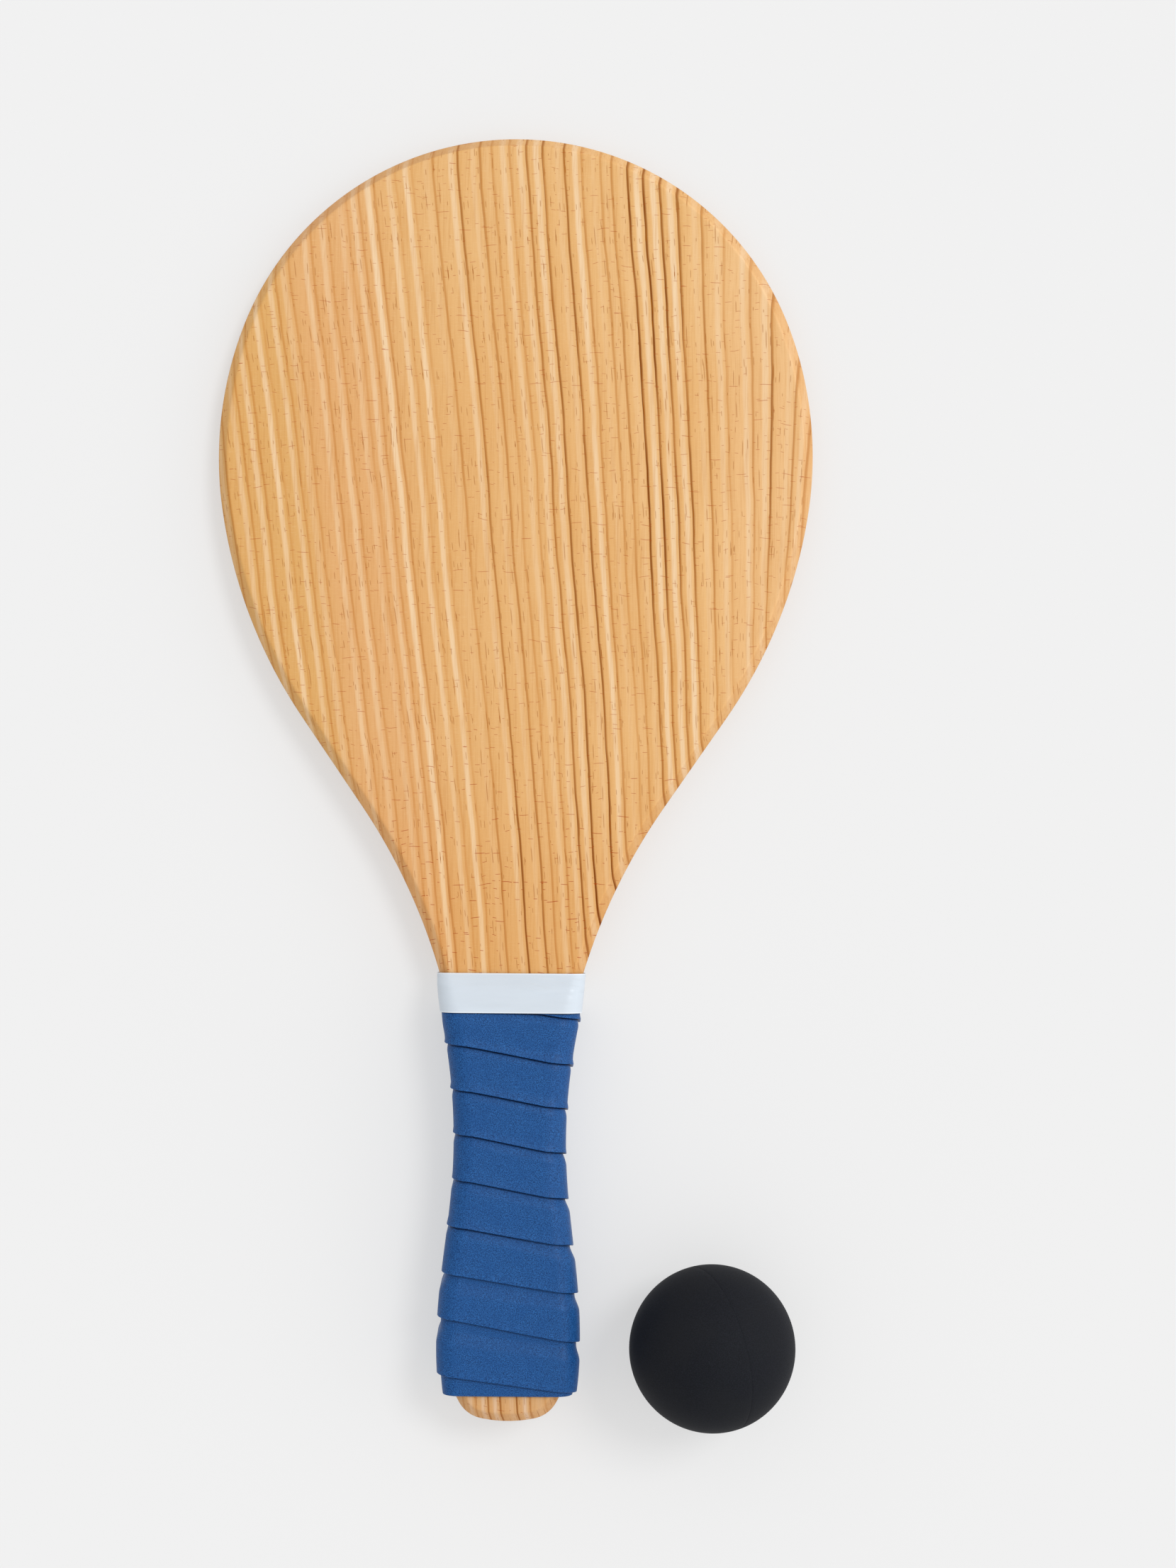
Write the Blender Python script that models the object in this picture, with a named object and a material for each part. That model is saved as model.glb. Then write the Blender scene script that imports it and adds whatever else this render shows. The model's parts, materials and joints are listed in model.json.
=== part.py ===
"""A wooden beach paddle and its rubber ball, lying ready to be picked up.

The paddle is a pine board with a cheek glued to each side of its handle. A foam strip is wound
up the handle in overlapping turns, and a band of white tape holds its upper end down.

The paddle is modelled along its own axis, with the butt end at y = 0, the tip at +y and the
hitting face at +z. It is then laid down on its grip and the tip of its blade. The ball lies
beside the handle. The origin is on the ground, under the middle of the paddle's length.
"""

import math

import bmesh
import bpy
from mathutils import Matrix, Vector

MM = 0.001

# Outline of the board, seen from the front
HEAD_WIDTH = 207.2 * MM
CROWN_RADIUS = 101.8 * MM
CROWN_TURN = math.radians(68.8)
SHOULDER_TURN = math.radians(8.4)
SHOULDER_RADIUS = 172.6 * MM
FLANK_ANGLE = math.radians(34.5)
THROAT_RADIUS = 205.0 * MM
WAIST_WIDTH = 32.8 * MM
WAIST_FROM_BUTT = 95.0 * MM
BUTT_WIDTH = 43.6 * MM
BUTT_END_RADIUS = 45.0 * MM
BUTT_CORNER_RADIUS = 11.0 * MM
BUTT_END_TURN = math.radians(12.0)
BUTT_CORNER_TURN = math.radians(60.0)

# Thicknesses of the wood
BOARD_THICKNESS = 10.0 * MM
CHEEK_THICKNESS = 5.0 * MM
EDGE_CHAMFER = 3.2 * MM
ARRIS = 0.4 * MM
CHEEK_RAMP = 12.0 * MM
CHEEK_NOSE = 0.8 * MM

# White tape that holds the upper end of the foam strip
TAPE_BOTTOM = 140.2 * MM
TAPE_WIDTH = 13.4 * MM
TAPE_THICKNESS = 0.25 * MM
TAPE_ON_WOOD = 5.0 * MM
TAPE_START = 0.62
TAPE_TURNS = 1.16

# Foam strip wound up the handle
WRAP_BOTTOM = 9.2 * MM
STRIP_WIDTH = 27.6 * MM
STRIP_THICKNESS = 1.3 * MM
FIRST_PITCH = 17.3 * MM
PITCH_LOSS = 0.36 * MM
LEFT_RISE = 0.8 * MM
LEFT_RISE_AT_ENDS = 1.8 * MM
MIDDLE_TURN = 4.0
BRIDGED_LENGTH = 4.2 * MM
STRIP_TAIL = 3.0 * MM
TOP_SLOPE = -0.056
TOP_SQUEEZE = 0.6
PINCH_LENGTH = 4.0 * MM
BUTT_HUG = 0.3
LAYER_GAP = 0.05 * MM

# Clearance of each piece to what carries it
SEAT_GAP = 0.3 * MM

# Ball
BALL_DIAMETER = 57.0 * MM
BALL_FROM_AXIS = 70.0 * MM
BALL_FROM_BUTT_END = 26.6 * MM
SEAM_WIDTH = 0.9 * MM
SEAM_DEPTH = 0.25 * MM
SEAM_NORMAL = Vector((0.86, 0.29, -0.42))

# Facets of the round stretches
CROWN_STEPS = 18
SIDE_STEPS = 6
SHOULDER_STEPS = 6
THROAT_STEPS = 10
HANDLE_STEPS = 10
BUTT_END_STEPS = 2
BUTT_CORNER_STEPS = 4
BUTT_HIP_STEPS = 4
GRIP_CORNER_STEPS = 4
GRIP_FLAT_STEPS = 4
TAPE_ROWS = 8
TAPE_BRIDGE_STEPS = 2
BALL_RINGS = 18
BALL_STEPS = 40

BOARD_HALF = BOARD_THICKNESS / 2
TAPE_TOP = TAPE_BOTTOM + TAPE_WIDTH
FOAM_TOP = TAPE_TOP - TAPE_ON_WOOD
CHEEK_TOP = TAPE_TOP - 1.5 * MM


def smooth_step(share):
    """0 to 1 with level ends."""
    share = min(1.0, max(0.0, share))
    return share * share * (3 - 2 * share)


def arc(centre, radius, start, end, steps):
    """Points of an arc after its first one, and their outward directions.

    A negative radius makes a hollow arc, whose centre is outside the wood.
    """
    points = []
    for i in range(1, steps + 1):
        angle = start + (end - start) * i / steps
        way = Vector((math.cos(angle), math.sin(angle)))
        points.append((centre + way * radius, way))
    return points


def half_outline():
    """The board's right-hand edge from the butt end to the tip, as (point, outward direction).

    End arc, corner arc and hip arc make the butt. An easy S runs up to the waist. Then come
    the hollow throat arc, the straight flank, and the shoulder, side and crown arcs.
    """
    quarter = math.pi / 2
    edge = [(Vector((0.0, 0.0)), Vector((0.0, -1.0)))]

    end_centre = Vector((0.0, BUTT_END_RADIUS))
    edge += arc(end_centre, BUTT_END_RADIUS, -quarter, BUTT_END_TURN - quarter, BUTT_END_STEPS)
    point, way = edge[-1]
    edge += arc(
        point - way * BUTT_CORNER_RADIUS,
        BUTT_CORNER_RADIUS,
        BUTT_END_TURN - quarter,
        BUTT_CORNER_TURN - quarter,
        BUTT_CORNER_STEPS,
    )
    point, way = edge[-1]
    hip_radius = (BUTT_WIDTH / 2 - point.x) / (1 - math.sin(BUTT_CORNER_TURN))
    edge += arc(point - way * hip_radius, hip_radius, BUTT_CORNER_TURN - quarter, 0.0, BUTT_HIP_STEPS)

    hip = edge[-1][0].copy()
    rise = WAIST_FROM_BUTT - hip.y
    drop = (BUTT_WIDTH - WAIST_WIDTH) / 2
    for i in range(1, HANDLE_STEPS + 1):
        share = i / HANDLE_STEPS
        x = hip.x - drop * (1 - math.cos(math.pi * share)) / 2
        slope = -drop * math.pi * math.sin(math.pi * share) / (2 * rise)
        edge.append((Vector((x, hip.y + rise * share)), Vector((1.0, -slope)).normalized()))

    waist = edge[-1][0]
    throat_centre = waist + Vector((THROAT_RADIUS, 0.0))
    edge += arc(throat_centre, -THROAT_RADIUS, 0.0, -FLANK_ANGLE, THROAT_STEPS)

    side_end = quarter - CROWN_TURN
    crown_reach = CROWN_RADIUS * math.sin(CROWN_TURN)
    side_radius = (HEAD_WIDTH / 2 - crown_reach) / (1 - math.sin(CROWN_TURN))
    shoulder_x = HEAD_WIDTH / 2 - side_radius * (1 - math.cos(SHOULDER_TURN))
    shoulder_x -= SHOULDER_RADIUS * (math.cos(SHOULDER_TURN) - math.cos(FLANK_ANGLE))
    point, way = edge[-1]
    climb = (shoulder_x - point.x) / math.tan(FLANK_ANGLE)
    point = Vector((shoulder_x, point.y + climb))
    edge.append((point, way.copy()))
    edge += arc(
        point - way * SHOULDER_RADIUS,
        SHOULDER_RADIUS,
        -FLANK_ANGLE,
        -SHOULDER_TURN,
        SHOULDER_STEPS,
    )
    point, way = edge[-1]
    edge += arc(point - way * side_radius, side_radius, -SHOULDER_TURN, side_end, SIDE_STEPS)
    point, way = edge[-1]
    edge += arc(point - way * CROWN_RADIUS, CROWN_RADIUS, side_end, quarter, CROWN_STEPS)
    edge[-1][0].x = 0.0
    return edge


EDGE = half_outline()
PADDLE_LENGTH = EDGE[-1][0].y
HIP_FROM_BUTT = max((point.x, point.y) for point, _ in EDGE if point.y < WAIST_FROM_BUTT)[1]


def half_width(y):
    """Half the board's width at this height, read from its outline."""
    for (low, _), (high, _) in zip(EDGE, EDGE[1:]):
        if low.y <= y <= high.y:
            return low.x + (high.x - low.x) * (y - low.y) / (high.y - low.y)
    return 0.0


def edge_with(heights):
    """The outline with a point added at each of these heights."""
    added = [(Vector((half_width(y), y)), Vector((1.0, 0.0))) for y in heights]
    return sorted(EDGE + added, key=lambda place: place[0].y)


def cheek_height(y):
    """How far a cheek stands over the board's face: full on the handle, bevelled off at its top."""
    if y > CHEEK_TOP + 0.1 * MM:
        return 0.0
    share = max(0.0, min(1.0, (CHEEK_TOP - y) / CHEEK_RAMP))
    return CHEEK_NOSE + (CHEEK_THICKNESS - CHEEK_NOSE) * share


def material(name, colour, roughness):
    made = bpy.data.materials.new(name)
    made.use_nodes = True
    shader = made.node_tree.nodes["Principled BSDF"]
    shader.inputs["Base Color"].default_value = (*colour, 1.0)
    shader.inputs["Roughness"].default_value = roughness
    shader.inputs["Metallic"].default_value = 0.0
    return made


def finished(name, bm, finish, sharp_angle):
    """An object from a bmesh, shaded smooth up to an angle."""
    bmesh.ops.recalc_face_normals(bm, faces=bm.faces)
    if bm.calc_volume(signed=True) < 0:
        bmesh.ops.reverse_faces(bm, faces=bm.faces)
    mesh = bpy.data.meshes.new(name)
    bm.to_mesh(mesh)
    bm.free()
    mesh.shade_smooth()
    mesh.set_sharp_from_angle(angle=math.radians(sharp_angle))
    mesh.materials.append(finish)
    made = bpy.data.objects.new(name, mesh)
    bpy.context.scene.collection.objects.link(made)
    return made


def plate(name, edge, levels, finish):
    """A flat wooden piece: its outline at several levels, joined by walls and closed by two caps.

    Each level is a function of (point, outward direction) that gives how far the outline is
    drawn in there, and its z. The caps are ladders of faces from the left edge to the right.
    """
    bm = bmesh.new()
    rings = []
    for level in levels:
        right, left = [], []
        for point, way in edge:
            inset, z = level(point, way)
            at = point - way * inset
            on_axis = point.x < 1e-9
            right.append(bm.verts.new((0.0 if on_axis else at.x, at.y, z)))
            left.append(right[-1] if on_axis else bm.verts.new((-at.x, at.y, z)))
        rings.append((right, left))
    last = len(edge) - 1
    for (low_right, low_left), (high_right, high_left) in zip(rings, rings[1:]):
        for i in range(last):
            bm.faces.new((low_right[i], low_right[i + 1], high_right[i + 1], high_right[i]))
            bm.faces.new((low_left[i + 1], low_left[i], high_left[i], high_left[i + 1]))
        if low_right[last] is not low_left[last]:
            bm.faces.new((low_right[last], low_left[last], high_left[last], high_right[last]))
    for right, left in (rings[0], rings[-1]):
        for i in range(last):
            corners = (right[i], right[i + 1], left[i + 1], left[i])
            bm.faces.new(dict.fromkeys(corners))
    return finished(name, bm, finish, 20)


def chamfer_levels(depth_at, face, side):
    """Three levels that carry an eased 45 degree chamfer out to a face on one side (+1 or -1).

    depth_at gives the chamfer's depth at a height, and face the z of the face there, both from
    the board's middle. The levels run from the wall to the face.
    """
    shares = ((0.0, 1.1), (0.1, 0.88), (0.88, 0.1), (1.1, 0.0))

    def level(inward, down):
        return lambda point, way: (
            depth_at(point.y) * inward,
            side * (face(point.y) - depth_at(point.y) * down),
        )

    return [level(inward, down) for inward, down in shares]


def board_chamfer(y):
    """The board's own share of the chamfer: all of it on the blade, an arris under the cheeks."""
    return max(ARRIS, EDGE_CHAMFER - cheek_height(y))


def make_board(finish):
    front = chamfer_levels(board_chamfer, lambda y: BOARD_HALF, 1)
    back = chamfer_levels(board_chamfer, lambda y: BOARD_HALF, -1)
    edge = edge_with((CHEEK_TOP - CHEEK_RAMP, CHEEK_TOP, CHEEK_TOP + 0.5 * MM))
    return plate("paddle_board", edge, back[::-1] + front, finish)


def make_cheek(name, side, finish):
    """A handle cheek, glued to one face of the board and chamfered with it."""
    seat = BOARD_HALF + SEAT_GAP

    def cut_at(y, z):
        """How far the paddle's common chamfer draws the wood in at this z."""
        return max(0.0, z - (BOARD_HALF + cheek_height(y) - EDGE_CHAMFER))

    def seat_level(point, way):
        return cut_at(point.y, seat), side * seat

    def wall_level(point, way):
        z = max(seat + 0.1 * MM, BOARD_HALF + cheek_height(point.y) - EDGE_CHAMFER * 1.1)
        return cut_at(point.y, z), side * z

    def soft_level(point, way):
        height = cheek_height(point.y)
        z = BOARD_HALF + height - 0.1 * min(EDGE_CHAMFER, height)
        return cut_at(point.y, z) * 0.97, side * z

    def face_level(point, way):
        return EDGE_CHAMFER * 1.1, side * (BOARD_HALF + cheek_height(point.y))

    # Above the waist the chamfer is drawn straight across, so that the bevel stays plane.
    edge = []
    for point, way in edge_with((CHEEK_TOP - CHEEK_RAMP, CHEEK_TOP)):
        if point.y < CHEEK_TOP + 0.1 * MM:
            edge.append((point, way if point.y < WAIST_FROM_BUTT else Vector((1.0, 0.0))))
    return plate(name, edge, [seat_level, wall_level, soft_level, face_level], finish)


def grip_stations():
    """Places round the handle, as (corner signs, direction, share of the way round).

    They start in the middle of the right side and run over the front to the left side and back.
    The share goes by the length of a typical section, so that the wound strip climbs evenly.
    """
    half_x = (WAIST_WIDTH + BUTT_WIDTH) / 4
    half_z = BOARD_HALF + CHEEK_THICKNESS
    radius = grip_corner(WAIST_FROM_BUTT)
    side = 2 * (half_z - radius)
    face = 2 * (half_x - radius)
    bend = radius * math.pi / 2
    round_length = 2 * side + 2 * face + 4 * bend
    stations = []
    gone = side / 2
    corners = ((1, 1, face), (-1, 1, side), (-1, -1, face), (1, -1, side))
    for number, (sign_x, sign_z, flat) in enumerate(corners):
        for i in range(GRIP_CORNER_STEPS + 1):
            angle = math.pi / 2 * (number + i / GRIP_CORNER_STEPS)
            share = (gone + bend * i / GRIP_CORNER_STEPS) / round_length
            stations.append(((sign_x, sign_z), angle, share))
        gone += bend
        if flat == face:
            for i in range(1, GRIP_FLAT_STEPS):
                across = sign_x * (1 - 2 * i / GRIP_FLAT_STEPS)
                share = (gone + face * i / GRIP_FLAT_STEPS) / round_length
                stations.append(((across, sign_z), math.pi / 2 * (number + 1), share))
        gone += flat
    return stations


def grip_half_depth(y):
    return BOARD_HALF + cheek_height(y)


def grip_corner(y):
    """Corner radius of the smooth section that clears the wood's chamfered corners."""
    return min(1.25 * EDGE_CHAMFER, 0.9 * grip_half_depth(y))


def grip_half_width(y):
    """The wood's half width, but straighter over the rounding of the butt, which foam bridges."""
    wood = half_width(y)
    if y > HIP_FROM_BUTT:
        return wood
    return BUTT_WIDTH / 2 - (BUTT_WIDTH / 2 - wood) * BUTT_HUG


def squeeze(y):
    """Share of its full height that foam keeps. The tape presses the strip's upper end flat."""
    share = (y - TAPE_BOTTOM + PINCH_LENGTH) / (FOAM_TOP - TAPE_BOTTOM + PINCH_LENGTH)
    return 1 - TOP_SQUEEZE * min(1.0, max(0.0, share))


def grip_point(station, y, foam=0.0, lift=0.0):
    """The point over a station at this y, over so much foam and then lifted further."""
    (across, up), angle, _ = station
    radius = grip_corner(y)
    reach = radius + SEAT_GAP + foam * squeeze(y) + lift
    return Vector(
        (
            across * (grip_half_width(y) - radius) + reach * math.cos(angle),
            y,
            up * (grip_half_depth(y) - radius) + reach * math.sin(angle),
        )
    )


STATIONS = grip_stations()


def lower_edge(turns):
    """Height of the strip's lower edge after so many turns.

    Its pitch falls a little each turn. It climbs more over the front than over the back, most
    of all near the ends of the grip, where the handle flares.
    """
    from_middle = min(1.0, abs(turns / MIDDLE_TURN - 1))
    rise = LEFT_RISE + (LEFT_RISE_AT_ENDS - LEFT_RISE) * from_middle**2
    steady = WRAP_BOTTOM + FIRST_PITCH * turns - PITCH_LOSS * turns * abs(turns) / 2
    return steady + rise * (1 - math.cos(2 * math.pi * turns)) / 2


def foam_top(station):
    """The strip is trimmed along a slightly slanting line, hidden by the tape."""
    (across, _), angle, _ = station
    side = across * (WAIST_WIDTH / 2 - grip_corner(0)) + grip_corner(0) * math.cos(angle)
    return FOAM_TOP + TOP_SLOPE * side


def strip_top(turns, station):
    return min(lower_edge(turns) + STRIP_WIDTH, foam_top(station))


def strip_end():
    """Turns after which the strip is cut off, where little of its width is left below the trim."""
    turns = 0.0
    while lower_edge(turns) < FOAM_TOP - STRIP_TAIL:
        turns += 0.01
    return turns


STRIP_END = strip_end()


def strip_lift(turns, station, y):
    """How far the strip's inner face is lifted off the wood by the turns that it lies on."""
    under = turns - 1
    ramp_turns = BRIDGED_LENGTH / (2 * (WAIST_WIDTH + BOARD_THICKNESS))
    if under < -1 - ramp_turns:
        return 0.0
    on_start = smooth_step((under + 1 + ramp_turns) / ramp_turns)
    top = strip_top(max(under, -1.0), station)
    fall = 1 - smooth_step((y - top) / BRIDGED_LENGTH)
    carried = strip_lift(under, station, min(y, top)) + STRIP_THICKNESS + LAYER_GAP
    return on_start * fall * carried


def spread(values, low, high, least):
    """The values in order between low and high, kept apart by at least this much."""
    kept = [low]
    for value in values:
        kept.append(max(value, kept[-1] + least))
    kept.append(high)
    for i in range(len(kept) - 2, 0, -1):
        kept[i] = min(kept[i], kept[i + 1] - least)
    return kept


def wound_strip(name, sections, finish):
    """A strip from its sections, each a closed list of points, joined end to end and capped."""
    bm = bmesh.new()
    rings = [[bm.verts.new(point) for point in section] for section in sections]
    for low, high in zip(rings, rings[1:]):
        for i in range(len(low)):
            j = (i + 1) % len(low)
            bm.faces.new((low[i], low[j], high[j], high[i]))
    for ring in (rings[0], rings[-1]):
        count = len(ring)
        for i in range(count // 2 - 1):
            bm.faces.new((ring[i], ring[i + 1], ring[count - 2 - i], ring[count - 1 - i]))
    return finished(name, bm, finish, 30)


def winding(first, last):
    """(turns, station) for each place where a winding from first to last turns passes a station."""
    places = []
    for turn in range(math.floor(first), math.ceil(last) + 1):
        for station in STATIONS:
            turns = turn + station[2]
            if first <= turns <= last:
                places.append((turns, station))
    return places


def make_foam(finish):
    """The foam strip. Its first turn is trimmed level at the butt, and its last under the tape."""
    sections = []
    least = 0.05 * MM
    for turns, station in winding(-1.0, STRIP_END):
        low = max(lower_edge(turns), WRAP_BOTTOM)
        top = strip_top(turns, station)
        under = strip_top(turns - 1, station)
        below = strip_top(turns - 2, station) + BRIDGED_LENGTH
        falls = [under + BRIDGED_LENGTH * share for share in (0.0, 0.5, 1.0)]
        bends = sorted([below, CHEEK_TOP - CHEEK_RAMP] + falls)
        heights = spread(bends, low, top, least)
        inner = [grip_point(station, y, strip_lift(turns, station, y)) for y in heights]
        outer = [
            grip_point(station, y, strip_lift(turns, station, y) + STRIP_THICKNESS)
            for y in heights
        ]
        sections.append(inner + outer[::-1])
    return wound_strip("foam_grip_wrap", sections, finish)


def foam_height(station, y):
    """Unsqueezed height of the wound foam over the wood at a place, and 0 above its trim."""
    if y > foam_top(station):
        return 0.0
    turns = math.floor(STRIP_END - station[2]) + station[2]
    while lower_edge(turns) > y and turns > 0:
        turns -= 1
    return strip_lift(turns, station, y) + STRIP_THICKNESS


def widened(values, reach):
    """Each value of a ring raised to its neighbours', then eased between them."""
    count = len(values)
    near = range(-reach, reach + 1)
    raised = [max(values[(i + j) % count] for j in near) for i in range(count)]
    return [sum(raised[(i + j) % count] for j in near) / len(near) for i in range(count)]


def outwardness(station, y, foam=0.0):
    """How far out the point over a station lies, along the station's own direction."""
    point = grip_point(station, y, foam)
    return point.x * math.cos(station[1]) + point.z * math.sin(station[1])


def taut(values):
    """Values at even steps, raised to the straight spans that bridge each hollow in them."""
    count = len(values)
    raised = list(values)
    for first in range(count):
        for last in range(first + 2, count):
            for i in range(first + 1, last):
                share = (i - first) / (last - first)
                span = values[first] * (1 - share) + values[last] * share
                raised[i] = max(raised[i], span)
    return raised


def make_tape(finish):
    """A band of tape, once round and a little over, drawn tight over the end of the foam.

    It bridges the foam's edges: it never comes nearer the wood than higher up or a little to
    either side.
    """
    step = TAPE_WIDTH / TAPE_ROWS
    heights = [TAPE_TOP - step * i for i in range(TAPE_ROWS + 1)]
    rows = []
    for y in heights:
        levels = (y - step / 2, y, y + step / 2)
        foam = [max(foam_height(place, level) for level in levels) for place in STATIONS]
        rows.append(widened(foam, TAPE_BRIDGE_STEPS))

    sections = []
    for turns, station in winding(TAPE_START, TAPE_START + TAPE_TURNS):
        second = smooth_step((turns - TAPE_START - 0.92) / 0.08)
        lift = SEAT_GAP + second * (TAPE_THICKNESS + LAYER_GAP)
        foam = [row[STATIONS.index(station)] for row in rows]
        spans = taut([outwardness(station, y, f) for y, f in zip(heights, foam)])
        lifts = [lift + span - outwardness(station, y) for y, span in zip(heights, spans)]
        inner = [grip_point(station, y, 0.0, far) for y, far in zip(heights, lifts)]
        outer = [
            grip_point(station, y, 0.0, far + TAPE_THICKNESS) for y, far in zip(heights, lifts)
        ]
        sections.append(inner + outer[::-1])
    return wound_strip("white_tape_band", sections, finish)


def make_ball(finish):
    """A moulded rubber ball, turned about the axis of its seam, which is a fine groove."""
    radius = BALL_DIAMETER / 2
    groove = math.asin(SEAM_WIDTH / 2 / radius)
    quarter = math.pi / 2
    steps = BALL_RINGS // 2
    upper = [quarter - (quarter - groove) * i / steps for i in range(steps + 1)]
    angles = upper + [0.0] + [-angle for angle in reversed(upper)]
    bm = bmesh.new()
    profile = []
    for angle in angles:
        reach = radius - (SEAM_DEPTH if angle == 0.0 else 0.0)
        on_axis = abs(abs(angle) - quarter) < 1e-9
        x = 0.0 if on_axis else reach * math.cos(angle)
        profile.append(bm.verts.new((x, 0.0, reach * math.sin(angle))))
    edges = [bm.edges.new(pair) for pair in zip(profile, profile[1:])]
    bmesh.ops.spin(
        bm,
        geom=profile + edges,
        cent=(0.0, 0.0, 0.0),
        axis=(0.0, 0.0, 1.0),
        angle=2 * math.pi,
        steps=BALL_STEPS,
    )
    bmesh.ops.remove_doubles(bm, verts=bm.verts, dist=0.01 * MM)
    ball = finished("ball", bm, finish, 60)
    ball.rotation_euler = SEAM_NORMAL.to_track_quat("Z", "Y").to_euler()
    return ball


def resting_line(pieces):
    """(y, z) of the two points of the paddle's back that it lies on, the grip's and the tip's.

    They are the ends of the lowest straight line that spans the blade, found as the last long
    stretch of the lower hull of the side view.
    """
    side_view = sorted({(v.co.y, v.co.z) for piece in pieces for v in piece.data.vertices})
    hull = []
    for point in side_view:
        while len(hull) > 1:
            (y0, z0), (y1, z1) = hull[-2:]
            if (y1 - y0) * (point[1] - z0) > (z1 - z0) * (point[0] - y0):
                break
            hull.pop()
        hull.append(point)
    spans = zip(hull, hull[1:])
    return max(spans, key=lambda span: span[1][0] - span[0][0])


def clear_scene():
    for existing in list(bpy.data.objects):
        bpy.data.objects.remove(existing)


def main():
    clear_scene()
    pine = material("pine", (0.777, 0.439, 0.174), 0.45)
    foam = material("blue_foam", (0.026, 0.093, 0.261), 0.85)
    vinyl = material("white_vinyl", (0.72, 0.78, 0.84), 0.35)
    rubber = material("black_rubber", (0.018, 0.019, 0.023), 0.6)

    pieces = [
        make_board(pine),
        make_cheek("front_handle_cheek", 1, pine),
        make_cheek("back_handle_cheek", -1, pine),
        make_foam(foam),
        make_tape(vinyl),
    ]
    grip, tip = (Vector(end) for end in resting_line(pieces))
    lean = math.atan2(tip.y - grip.y, tip.x - grip.x)
    laid = Matrix.Rotation(-lean, 4, "X")
    ground = (laid @ Vector((0.0, tip.x, tip.y))).z

    paddle = bpy.data.objects.new("paddle", None)
    bpy.context.scene.collection.objects.link(paddle)
    paddle.rotation_euler = (-lean, 0.0, 0.0)
    paddle.location = (0.0, -PADDLE_LENGTH / 2, -ground)
    for piece in pieces:
        piece.parent = paddle

    radius = BALL_DIAMETER / 2
    ball = make_ball(rubber)
    ball.location = (BALL_FROM_AXIS, BALL_FROM_BUTT_END - PADDLE_LENGTH / 2, radius)


main()
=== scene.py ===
"""The looks of a wooden beach paddle and its rubber ball, lying on a pale floor.

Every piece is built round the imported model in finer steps, from the same lengths. The paddle's
pieces are modelled along its own axis, with the butt end at y = 0, the tip at +y and the hitting
face at +z, and are then laid down as the model lies. Their grain follows those coordinates.
"""

import json
import math

import bmesh
import bpy
from mathutils import Matrix, Vector


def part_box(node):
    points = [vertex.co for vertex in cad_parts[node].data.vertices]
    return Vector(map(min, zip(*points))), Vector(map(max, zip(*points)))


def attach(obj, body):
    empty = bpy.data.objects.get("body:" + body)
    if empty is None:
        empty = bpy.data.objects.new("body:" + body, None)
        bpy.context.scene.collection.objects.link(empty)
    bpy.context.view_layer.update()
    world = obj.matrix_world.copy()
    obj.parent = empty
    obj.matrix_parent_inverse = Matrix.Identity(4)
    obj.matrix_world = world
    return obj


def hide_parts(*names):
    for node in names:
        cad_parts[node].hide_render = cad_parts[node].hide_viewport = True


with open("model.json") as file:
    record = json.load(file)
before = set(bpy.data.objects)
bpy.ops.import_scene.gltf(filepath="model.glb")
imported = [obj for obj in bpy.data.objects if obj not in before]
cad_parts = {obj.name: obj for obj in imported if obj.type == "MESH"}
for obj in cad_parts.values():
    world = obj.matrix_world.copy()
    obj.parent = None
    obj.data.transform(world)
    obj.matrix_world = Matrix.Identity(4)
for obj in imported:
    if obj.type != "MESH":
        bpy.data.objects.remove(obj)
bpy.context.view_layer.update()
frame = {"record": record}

MM = 0.001

# Sizes that the model was made with: the blade's outline
HEAD_WIDTH = 207.2 * MM
CROWN_RADIUS = 101.8 * MM
CROWN_TURN = math.radians(68.8)
SHOULDER_TURN = math.radians(8.4)
SHOULDER_RADIUS = 172.6 * MM
FLANK_ANGLE = math.radians(34.5)
THROAT_RADIUS = 205.0 * MM

# The handle's outline
WAIST_WIDTH = 32.8 * MM
WAIST_FROM_BUTT = 95.0 * MM
BUTT_WIDTH = 43.6 * MM
BUTT_END_RADIUS = 45.0 * MM
BUTT_CORNER_RADIUS = 11.0 * MM
BUTT_END_TURN = math.radians(12.0)
BUTT_CORNER_TURN = math.radians(60.0)

# The wood's thickness, its chamfers and the bevel at the cheeks' upper ends
BOARD_HALF = 5.0 * MM
CHEEK_THICKNESS = 5.0 * MM
EDGE_CHAMFER = 3.2 * MM
ARRIS = 0.4 * MM
CHEEK_RAMP = 12.0 * MM
CHEEK_NOSE = 0.8 * MM
CHEEK_BELOW_TAPE_TOP = 1.5 * MM

# The tape. Its start and its length are counted in turns round the handle
TAPE_BOTTOM = 140.2 * MM
TAPE_WIDTH = 13.4 * MM
TAPE_THICKNESS = 0.25 * MM
TAPE_ON_WOOD = 5.0 * MM
TAPE_START = 0.62
TAPE_TURNS = 1.16

# The foam strip and how it is wound. Each turn's pitch is a little less than the last one's
WRAP_BOTTOM = 9.2 * MM
STRIP_WIDTH = 27.6 * MM
STRIP_THICKNESS = 1.3 * MM
FIRST_PITCH = 17.3 * MM
PITCH_LOSS = 0.36 * MM
BRIDGED_LENGTH = 5.6 * MM
STRIP_TAIL = 3.0 * MM
LAYER_GAP = 0.05 * MM
SEAT_GAP = 0.3 * MM
# Slope of its trimmed upper end, which the tape presses flat by this share. The pressing starts
# so far below the tape
TOP_SLOPE = -0.056
TOP_SQUEEZE = 0.6
PINCH_LENGTH = 4.0 * MM
# Share of the butt's rounding that the strip follows
BUTT_HUG = 0.3
# Corners of the section that it is wound on, at most this share of the wood's half depth
GRIP_CORNER_RADIUS = 1.25 * EDGE_CHAMFER
GRIP_CORNER_LIMIT = 0.9
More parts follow.
